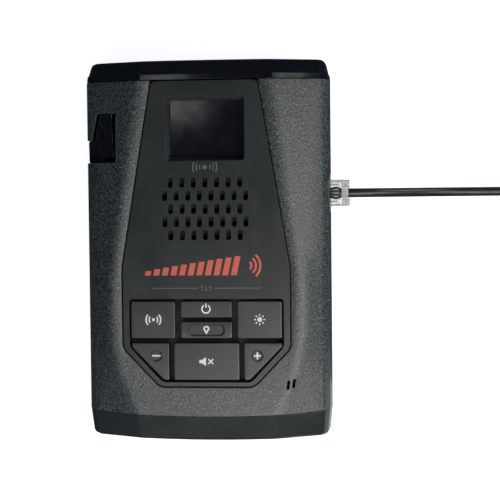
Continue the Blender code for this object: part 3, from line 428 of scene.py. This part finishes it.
KEY_GREY = (0.0290, 0.0325, 0.0315)
PANEL_GREY = (0.0155, 0.0195, 0.0205)
LOOKS = {
    "textured_case": textured_case(),
    "smooth_case": satin("smooth_case", PANEL_GREY, 0.36, 0.006 * MM),
    "infrared_black": infrared_black(),
    "key_plastic": satin("key_plastic", KEY_GREY, 0.38, 0.006 * MM, 0.08),
    "silicone_black": rubbery("silicone_black", (0.008, 0.008, 0.009), 0.62),
    "circuit_board": circuit_board(),
    "die_cast": metal("die_cast", (0.42, 0.43, 0.44), 0.46, lump=1.2 * MM),
    "tinned_steel": metal("tinned_steel", (0.60, 0.60, 0.58), 0.24),
    "screw_steel": metal("screw_steel", (0.10, 0.10, 0.105), 0.36),
    "gold_plate": metal("gold_plate", (0.78, 0.53, 0.22), 0.22),
    "patch_ceramic": fibrous("patch_ceramic", (0.58, 0.52, 0.42), 0.6, 0.5 * MM),
    "cone_paper": fibrous("cone_paper", (0.020, 0.020, 0.020), 0.82, 0.8 * MM),
    "foam_black": fibrous("foam_black", (0.012, 0.012, 0.012), 0.9, 0.4 * MM),
    "black_plastic": satin("black_plastic", (0.010, 0.0105, 0.011), 0.42, 0.010 * MM),
    "clear_plastic": clear_plastic(),
    "cord_jacket": cord_jacket(),
    "label_film": label_film(),
}
WHITE_INK = ink("white_ink", (0.72, 0.74, 0.73))
GREY_INK = ink("grey_ink", (0.105, 0.120, 0.118))
RED_INK = ink("red_ink", (0.60, 0.105, 0.075))


# ---------------------------------------------------------------- CAD nodes


def normals_group():
    """Merges a CAD mesh's split corners and shades it smooth except across its real edges."""
    group = bpy.data.node_groups.new("smooth_by_angle", "GeometryNodeTree")
    group.interface.new_socket("Geometry", in_out="INPUT", socket_type="NodeSocketGeometry")
    group.interface.new_socket("Geometry", in_out="OUTPUT", socket_type="NodeSocketGeometry")
    start, end = group.nodes.new("NodeGroupInput"), group.nodes.new("NodeGroupOutput")
    plain = group.nodes.new("GeometryNodeRemoveAttribute")
    plain.inputs["Name"].default_value = "custom_normal"
    merge = group.nodes.new("GeometryNodeMergeByDistance")
    merge.inputs["Distance"].default_value = 0.002 * MM
    faces = group.nodes.new("GeometryNodeSetShadeSmooth")
    faces.domain = "FACE"
    edges = group.nodes.new("GeometryNodeSetShadeSmooth")
    edges.domain = "EDGE"
    angle = group.nodes.new("GeometryNodeInputMeshEdgeAngle")
    shallow = group.nodes.new("FunctionNodeCompare")
    shallow.operation = "LESS_THAN"
    shallow.inputs["B"].default_value = math.radians(32)
    link = group.links.new
    link(start.outputs[0], plain.inputs["Geometry"])
    link(plain.outputs[0], merge.inputs["Geometry"])
    link(merge.outputs[0], faces.inputs["Geometry"])
    link(faces.outputs[0], edges.inputs["Geometry"])
    link(angle.outputs["Unsigned Angle"], shallow.inputs["A"])
    link(shallow.outputs[0], edges.inputs["Shade Smooth"])
    link(edges.outputs[0], end.inputs[0])
    return group


def finish_nodes():
    """Gives each CAD node the look of its material slot, and smooth shading between its real edges."""
    group = normals_group()
    for part in frame["record"]["subparts"]:
        node = frame["nodes"][part["node"]]
        node.data.materials.clear()
        node.data.materials.append(LOOKS[part["material_slot"]])
        smooth = node.modifiers.new("normals", "NODES")
        smooth.node_group = group
        weighted = node.modifiers.new("flat_faces", "WEIGHTED_NORMAL")
        weighted.keep_sharp = True


# ---------------------------------------------------------------- power lead


def cord_route():
    """From inside the plug straight out, down to the surface, and along it to the coil."""
    route = (
        (47.2, 20.2, 15.0),
        (50.9, 20.2, 15.0),
        (54.0, 20.2, 14.95),
        (58.0, 20.2, 14.5),
        (63.0, 20.2, 13.1),
        (69.0, 20.2, 10.4),
        (75.0, 20.2, 7.1),
        (81.0, 20.2, 4.2),
        (87.0, 20.2, 2.4),
        (93.0, 20.2, 1.75),
        (100.0, 20.2, 1.65),
        (114.0, 20.2, 1.65),
        (128.0, 20.2, 1.65),
        (136.0, 20.2, 1.75),
        (144.3, 20.2, 2.2),
        (151.0, 20.2, 2.5),
    )
    return [Vector(p) * MM for p in route]


def coil_route(centre):
    """Turns wound inwards and outwards in turn, layer on layer, round a centre."""
    plan = []
    for layer in range(COIL_LAYERS):
        radii = COIL_TURNS if layer % 2 == 0 else COIL_TURNS[::-1]
        plan += [(radius, COIL_LOW_Z + layer * CORD_D) for radius in radii]
    points = []
    for turn, (radius, height) in enumerate(plan):
        before = plan[max(0, turn - 1)]
        last = turn == len(plan) - 1
        for degrees in range(0, LEAVE if last else 360, COIL_STEP):
            share = min(1.0, degrees / CLIMB)
            ease = share * share * (3 - 2 * share)
            r = before[0] + (radius - before[0]) * ease
            z = before[1] + (height - before[1]) * ease
            a = math.radians(90 - degrees)
            points.append(Vector((centre.x + r * math.cos(a), centre.y + r * math.sin(a), z)))
    return points


def power_cord():
    """The whole lead as one cord, from inside the modular plug to inside the accessory plug."""
    low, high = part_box("cord_coil")
    tail_low, tail_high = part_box("accessory_plug_body")
    middle = (tail_low + tail_high) / 2
    tail = Vector((middle.x, tail_high.y, middle.z))
    lead_out = [
        tail + Vector((-1.4, 11, 1.0)) * MM,
        tail + Vector((-0.2, 4, 0.2)) * MM,
        tail + Vector((0, -3, 0)) * MM,
    ]
    line = smooth_curve(cord_route() + coil_route((low + high) / 2) + lead_out, 3.0 * MM)
    made = tubes("power_cord", [line], CORD_D / 2, 4)
    cord = settle(made, LOOKS["cord_jacket"], "power_lead")
    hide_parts("cord_tube", "cord_coil")
    length = sum((b - a).length for a, b in zip(line, line[1:]))
    print(f"cord length {length:.3f} m")
    return cord


# ---------------------------------------------------------------- plug and lead details


def rounded_box(shape, low, high, ease, steps=3):
    """Adds a closed box whose upright edges are rounded to a bmesh."""
    low, high = Vector(low), Vector(high)
    outline = []
    for x, y, start in (
        (high.x - ease, high.y - ease, 0),
        (low.x + ease, high.y - ease, 90),
        (low.x + ease, low.y + ease, 180),
        (high.x - ease, low.y + ease, 270),
    ):
        outline += arc((x, y), ease, start, start + 90, steps)
    prism(shape, outline, low.z, high.z)


def plug_shell():
    """The clear modular plug: floor, side rails, end wall and bridge round an open core window."""
    low, high, y = PLUG_LOW, PLUG_HIGH, PLUG_Y
    half = high.y - y
    rail = 0.85 * MM
    floor = low.z + 1.3 * MM
    deck = floor + INK
    roof = high.z - 0.9 * MM
    bridge_end, bridge_half = 39.6 * MM, 3.7 * MM
    channel = (41.0 * MM, 46.6 * MM)
    jaw_start, jaw_end = 48.0 * MM, high.x - 1.2 * MM
    wall, mouth_half = high.x - 1.1 * MM, 2.0 * MM

    shape = bmesh.new()
    rounded_box(shape, low, (high.x, high.y, floor), 0.5 * MM)
    for side in (-1, 1):
        near, far = sorted((y + side * half, y + side * (half - rail)))
        rounded_box(shape, (low.x, near, deck), (jaw_end, far, high.z), 0.3 * MM)
        near, far = sorted((y + side * 3.3 * MM, y + side * 2.85 * MM))
        rounded_box(shape, (channel[0], near, deck), (channel[1], far, roof), 0.2 * MM)
        near, far = sorted((y + side * (half - rail - 0.1 * MM), y + side * 1.9 * MM))
        rounded_box(shape, (jaw_start, near, deck), (jaw_end, far, roof), 0.5 * MM)
    rounded_box(shape, (low.x, y - bridge_half, deck), (bridge_end, y + bridge_half, roof), 0.3 * MM)
    rounded_box(shape, (wall, low.y, deck), (high.x, y - mouth_half, high.z), 0.4 * MM)
    rounded_box(shape, (wall, y + mouth_half, deck), (high.x, high.y, high.z), 0.4 * MM)
    shell = add_mesh("plug_shell", shape, LOOKS["clear_plastic"], "power_lead")
    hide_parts("plug_body")


def plug_clamp():
    """The milky block that grips the cord's jacket inside the plug."""
    half = 1.75 * MM
    low = (47.9 * MM, PLUG_Y - half, 13.1 * MM)
    high = (50.3 * MM, PLUG_Y + half, 17.0 * MM)
    shape = bmesh.new()
    rounded_box(shape, low, high, 0.5 * MM)
    milky = rubbery("cord_clamp", (0.46, 0.49, 0.49), 0.35)
    add_mesh("plug_clamp", shape, milky, "power_lead")


def plug_cores():
    """Four insulated cores that fan from the jacket to the contacts."""
    y = PLUG_Y
    lines = []
    for i in range(4):
        share = (i - 1.5) * MM
        height = (15.9 if i % 2 else 15.6) * MM
        path = [
            Vector((47.8 * MM, y + 0.75 * share, 15.3 * MM)),
            Vector((46.6 * MM, y + 1.15 * share, height)),
            Vector((45.4 * MM, y + 1.25 * share, height + 0.2 * MM)),
            Vector((44.2 * MM, y + 1.00 * share, height)),
            Vector((40.2 * MM, y + 1.05 * share, 15.0 * MM)),
        ]
        lines.append(smooth_curve(path, 0.5 * MM))
    cores = tubes("plug_cores", lines, 0.46 * MM, 3)
    settle(cores, LOOKS["black_plastic"], "power_lead")


def cord_strap():
    """The woven strap round the stored coil, one end lapped over the other."""
    low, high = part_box("cord_tie")
    thick, radius = 0.9 * MM, 3.0 * MM
    outer, inner = [], []
    for y, z, start in (
        (high.y - radius, high.z - radius, 0),
        (low.y + radius, high.z - radius, 90),
        (low.y + radius, low.z + radius, 180),
        (high.y - radius, low.z + radius, 270),
    ):
        outer += arc((y, z), radius, start, start + 90, 6)
        inner += arc((y, z), radius - thick, start, start + 90, 6)
    shape = bmesh.new()
    rings = []
    for x in (low.x, high.x):
        for loop in (outer, inner):
            rings.append([shape.verts.new((x, y, z)) for y, z in loop])
    near_outer, near_inner, far_outer, far_inner = rings
    walls = (
        (near_outer, far_outer),
        (far_inner, near_inner),
        (near_inner, near_outer),
        (far_outer, far_inner),
    )
    for i in range(len(outer)):
        j = (i + 1) % len(outer)
        for a, b in walls:
            shape.faces.new((a[i], a[j], b[j], b[i]))

    inset, lap_start, lap_end = 0.3 * MM, low.y + 4 * MM, low.y + 10 * MM
    lap = box_outline(low.x + inset, high.x - inset, lap_start, lap_end)
    prism(shape, lap, high.z + 0.02 * MM, high.z + 0.7 * MM)
    strap = add_mesh("cord_strap", shape, webbing(), "power_lead", 50.0)
    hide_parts("cord_tie")


def ring_of_blocks(axis, y, reach, block, count, first=0.0):
    """Blocks set evenly round a line along y, at a reach from it."""
    shape = bmesh.new()
    for i in range(count):
        angle = math.radians(first + 360 * i / count)
        turn = Matrix.Translation(axis) @ Matrix.Rotation(angle, 4, "Y")
        made = bmesh.ops.create_cube(shape, size=1)["verts"]
        bmesh.ops.scale(shape, verts=made, vec=block)
        bmesh.ops.translate(shape, verts=made, vec=(0, y, reach))
        bmesh.ops.transform(shape, matrix=turn, verts=made)
    return shape


def plug_trim():
    """Grip ribs, tail ribs and a knurled nose ring on the accessory plug."""
    low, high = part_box("accessory_plug_body")
    tail_y = high.y
    axis = Vector(((low.x + high.x) / 2, 0, (low.z + high.z) / 2))

    rib = (0.9 * MM, 12.5 * MM, 0.5 * MM)
    reach = (high.x - low.x) / 2 - 0.25 * MM
    ribs = ring_of_blocks(axis, tail_y - 25.5 * MM, reach, rib, 24, 7.5)
    grip = add_mesh("accessory_grip_ribs", ribs, LOOKS["black_plastic"], "power_lead")
    grip.modifiers.new("edge", "BEVEL").width = 0.15 * MM

    tail = bmesh.new()
    flat = Matrix.Rotation(math.pi / 2, 4, "X")
    for i in range(5):
        radius = (3.35 + 0.12 * i) * MM
        place = axis + Vector((0, tail_y - (1.6 + 2.0 * i) * MM, 0))
        round_rib = {"radius1": radius, "radius2": radius, "depth": 0.9 * MM, "segments": 32}
        bmesh.ops.create_cone(tail, cap_ends=True, matrix=Matrix.Translation(place) @ flat, **round_rib)
    add_mesh("accessory_tail_ribs", tail, LOOKS["silicone_black"], "power_lead")

    tooth = (0.55 * MM, 2.2 * MM, 0.5 * MM)
    ring = ring_of_blocks(axis, tail_y - 56.2 * MM, 8.95 * MM, tooth, 36)
    add_mesh("accessory_nose_ring", ring, LOOKS["tinned_steel"], "power_lead")


# ---------------------------------------------------------------- printed marks


def printed(name, centre, outlines, level, look, body):
    """Ink on a flat surface: one thin closed prism for each outline, in millimetres about a centre."""
    shape = bmesh.new()
    for outline in outlines:
        placed = [((centre[0] + x) * MM, (centre[1] + y) * MM) for x, y in outline]
        prism(shape, placed, level - 0.01 * MM, level + INK)
    add_mesh(name, shape, look, body)


def signal_arcs(dot, radii, width, spread, steps):
    """A round dot with arcs on both sides of it."""
    outlines = [arc((0, 0), dot, 0, 345, 18)]
    for radius in radii:
        for middle in (0, 180):
            outlines.append(band((0, 0), radius, width, middle - spread, middle + spread, steps))
    return outlines


def location_pin():
    head, start, end = (0, 0.45), -35, 215
    outer = arc(head, 1.05, start, end, 1)
    inner = arc(head, 0.42, start, end, 1)
    point = [outer[0], inner[0], (0, -0.6), inner[1], outer[1], (0, -1.6)]
    return [band(head, 0.78, 0.56, start, end), point]


def sun():
    outlines = [arc((0, 0), 0.85, 0, 345, 20)]
    for i in range(8):
        a = math.radians(45 * i)
        ray = Vector((math.cos(a), math.sin(a)))
        outlines.append(bar(1.3 * ray, 2.0 * ray, 0.42))
    return outlines


def muted_loudspeaker():
    horn = [(-2.2, -0.6), (-1.2, -0.6), (0.2, -1.6), (0.2, 1.6), (-1.2, 0.6), (-2.2, 0.6)]
    width = 0.45
    cross = [
        bar((1.0, -0.9), (2.8, 0.9), width),
        bar((1.0, 0.9), (1.75, 0.15), width),
        bar((2.05, -0.15), (2.8, -0.9), width),
    ]
    return [horn, *cross]


def key_legends():
    """Pictograms on the keys, each riding on its own key."""

    def mark(key, outlines, level=KEY_TOP):
        name, body = "legend_" + key, "key_" + key
        printed(name, LEGENDS_AT[key], outlines, level, WHITE_INK, body)

    stroke = 0.55
    gap, reach = 0.28, 1.25
    minus = bar((-1.55, 0), (1.55, 0), stroke)
    plus = [
        bar((-reach, 0), (reach, 0), stroke),
        bar((0, gap), (0, reach), stroke),
        bar((0, -gap), (0, -reach), stroke),
    ]
    mark("sensitivity", signal_arcs(0.55, (1.55, 2.65), 0.52, 42, 24))
    mark("power", [band((0, 0), 1.45, 0.52, 122, 418), bar((0, 0.5), (0, 2.0), 0.5)])
    mark("mark", location_pin(), DISH_FLOOR)
    mark("brightness", sun())
    mark("volume_down", [minus], DISH_FLOOR)
    mark("volume_up", plus, DISH_FLOOR)
    mark("mute", muted_loudspeaker())


def signal_bars():
    """Slanted bars that grow from left to right, and the arcs that follow them."""
    count, pitch, width, lean = 11, 3.1, 2.1, 0.22
    outlines = []
    for i in range(count):
        left = pitch * i
        height = 1.6 + 5.2 * (i / (count - 1)) ** 0.9
        shift = lean * height
        top = [(left + width + shift, height), (left + shift, height)]
        outlines.append([(left, 0), (left + width, 0), *top])
    for radius in (1.8, 3.4, 5.0):
        outlines.append(band((36.6, 3.4), radius, 0.75, -48, 48, 16))
    return outlines


def preference_line():
    """A thin line with arrowheads at its ends and three sliders in its middle."""
    thin, head = 0.26, 0.45
    outlines = [
        bar((-17.9, 0), (-2.9, 0), thin),
        bar((3.0, 0), (18.3, 0), thin),
        [(-19.3, 0), (-18.4, -head), (-18.4, head)],
        [(19.7, 0), (18.8, head), (18.8, -head)],
    ]
    for i, knob in enumerate((0.5, -0.5, 0.25)):
        x = 1.5 * (i - 1) + 0.05
        low, high = knob - 0.18, knob + 0.18
        outlines.append(box_outline(x - 0.11, x + 0.11, -1.0, 1.0))
        outlines.append(box_outline(x - 0.42, x - 0.12, low, high))
        outlines.append(box_outline(x + 0.12, x + 0.42, low, high))
    return outlines


def panel_prints():
    """The panel's own printing: a reception pictogram, slanted signal bars and a preference line."""

    def mark(name, centre, outlines, look):
        printed(name, centre, outlines, PANEL_TOP, look, "detector")

    reception = signal_arcs(0.8, (1.9, 3.1, 4.3), 0.45, 24, 12)
    mark("print_reception", (0.1, 29.9), reception, GREY_INK)
    mark("print_signal_bars", (-22.0, -8.6), signal_bars(), RED_INK)
    mark("print_preference_line", (0, -13.2), preference_line(), GREY_INK)


# ---------------------------------------------------------------- studio


def area_light(name, place, target, size, radiance, colour):
    data = bpy.data.lights.new(name, "AREA")
    data.shape = "RECTANGLE"
    data.size, data.size_y = size
    data.energy = radiance * math.pi * size[0] * size[1]
    data.color = colour
    light = bpy.data.objects.new(name, data)
    light.location = place
    light.rotation_euler = (Vector(target) - Vector(place)).to_track_quat("-Z", "Y").to_euler()
    light.visible_camera = False
    bpy.context.scene.collection.objects.link(light)


def low_box(name, azimuth, radiance, colour):
    """A soft box low beside the object, at an angle from the +X axis."""
    a = math.radians(azimuth)
    place = (LOW_RING * math.cos(a), LOW_RING * math.sin(a), LOW_HEIGHT)
    area_light(name, place, (0, 0, 0.03), (0.42, 0.20), radiance, colour)


def overhead_glow(name, x, y, size, radiance, colour):
    """A small light high up, which shows as a highlight in one glossy place."""
    area_light(name, (x, y, OVERHEAD), (x, y, 0.0), size, radiance, colour)


def lights():
    """Warm boxes over the rear and right, a broad one low at the front right, and small accents."""
    area_light("near_right_box", (0.20, 0.0, 0.245), (0.02, 0.0, 0.03), (0.12, 0.20), 4.9, WARM)
    rear_right = (0.103, -0.123, 0.312)
    area_light("near_rear_right_box", rear_right, (0.03, -0.05, 0.03), (0.12, 0.12), 6.8, WARM)
    area_light("near_rear_box", (0.0, -0.153, 0.315), (0.0, -0.06, 0.03), (0.20, 0.10), 4.8, WARM)
    area_light("rear_box", (0.0, -0.23, 0.245), (0.0, -0.05, 0.03), (0.20, 0.10), 1.2, PLAIN)
    low_box("low_front_right_box", 45, 5.6, PLAIN)
    low_box("low_rear_box", 270, 0.8, PLAIN)
    low_box("low_rear_left_box", 225, 0.20, COOL)
    area_light("floor_bounce", (0.10, -0.10, 0.004), (0.0995, -0.10, 0.1), (0.10, 0.14), 1.2, PLAIN)
    overhead_glow("pocket_glow", -0.155, 0.115, (0.06, 0.045), 2.0, WARM)
    overhead_glow("lip_glow_left", -0.172, 0.232, (0.055, 0.05), 1.7, PLAIN)
    overhead_glow("lip_glow_right", 0.583, 0.261, (0.045, 0.06), 2.2, PLAIN)


def paper_floor():
    """A pale glowing sheet, kept out of the gloss so that dark faces stay dark."""
    shape = bmesh.new()
    bmesh.ops.create_grid(shape, x_segments=1, y_segments=1, size=3.0)
    data = bpy.data.meshes.new("floor")
    shape.to_mesh(data)
    shape.free()
    floor = bpy.data.objects.new("floor", data)
    floor.location.z = -0.02 * MM
    floor.visible_glossy = False
    bpy.context.scene.collection.objects.link(floor)
    glow = {"Emission_Color": (0.97, 0.985, 1.0, 1), "Emission_Strength": 0.90}
    paper = Look("floor_paper", (0.60, 0.60, 0.60), 0.9, Specular_IOR_Level=0.0, **glow)
    fibres = paper.spread(paper.noise(40 * MM, 4.0), 0.3, 0.7)
    paper.colours(paper.mix(fibres, (0.58, 0.585, 0.59), (0.61, 0.61, 0.61)))
    data.materials.append(paper.material)


def surroundings():
    """A faint cool fill that lights the object, behind a white that only the camera sees."""
    world = bpy.data.worlds.new("studio")
    bpy.context.scene.world = world
    world.use_nodes = True
    nodes, links = world.node_tree.nodes, world.node_tree.links
    fill = nodes["Background"]
    fill.inputs["Color"].default_value = (0.50, 0.80, 1.0, 1)
    fill.inputs["Strength"].default_value = 0.05
    seen = nodes.new("ShaderNodeBackground")
    seen.inputs["Color"].default_value = (1.0, 1.0, 1.0, 1)
    seen.inputs["Strength"].default_value = 1.0
    path = nodes.new("ShaderNodeLightPath")
    mix = nodes.new("ShaderNodeMixShader")
    links.new(path.outputs["Is Camera Ray"], mix.inputs[0])
    links.new(fill.outputs[0], mix.inputs[1])
    links.new(seen.outputs[0], mix.inputs[2])
    links.new(mix.outputs[0], nodes["World Output"].inputs[0])


def camera():
    data = bpy.data.cameras.new("camera")
    data.lens = CAMERA_LENS
    data.sensor_width = 36
    data.clip_start = 0.01
    made = bpy.data.objects.new("camera", data)
    place = Matrix.Translation(CAMERA_AT)
    for degrees, axis in ((CAMERA_TURN, "Y"), (CAMERA_TILT, "X"), (CAMERA_ROLL, "Z")):
        place = place @ Matrix.Rotation(math.radians(degrees), 4, axis)
    made.matrix_world = place
    bpy.context.scene.collection.objects.link(made)
    bpy.context.scene.camera = made


bpy.context.scene.view_settings.view_transform = "Standard"
camera()
paper_floor()
surroundings()
lights()
finish_nodes()
cord = power_cord()
plug_shell()
plug_clamp()
plug_cores()
cord_strap()
plug_trim()
key_legends()
panel_prints()
